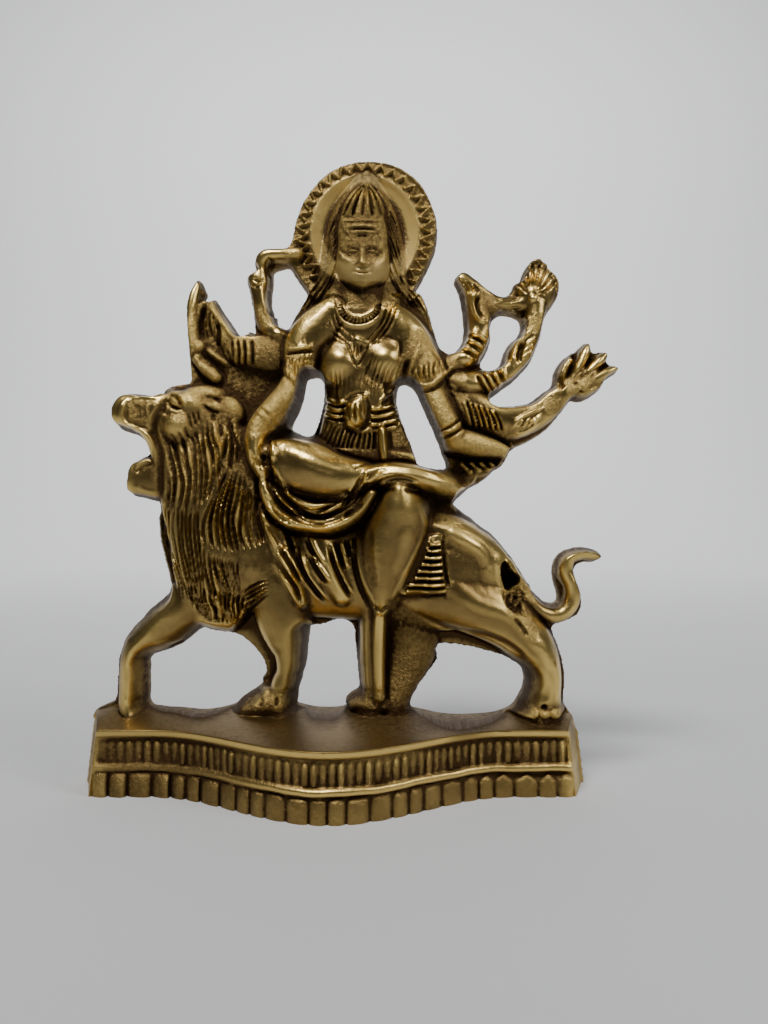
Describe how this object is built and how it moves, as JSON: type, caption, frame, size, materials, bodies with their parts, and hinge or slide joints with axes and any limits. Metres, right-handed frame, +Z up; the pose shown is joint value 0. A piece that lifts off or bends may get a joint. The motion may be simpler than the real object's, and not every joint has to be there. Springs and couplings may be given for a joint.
{
  "type": "cast relief figurine",
  "caption": "Cast brass relief of a many-armed goddess with a halo, riding side-saddle on a striding lion, cast together with the bow-fronted plinth it stands on.",
  "frame": {"origin": "on the flat underside, under the middle of the plinth's width and halfway between its back plane and the front of its bow", "axes": "+Z up; the relief faces -Y and its flat back faces +Y; +X to the viewer's right, so the lion strides towards -X"},
  "size_m": [0.1291, 0.0298, 0.15],
  "materials": {
    "brass": "hand polished on the high places, brown patina and cast grain in the recesses"
  },
  "bodies": {
    "root": {"goddess_on_lion": "brass"}
  },
  "joints": []
}
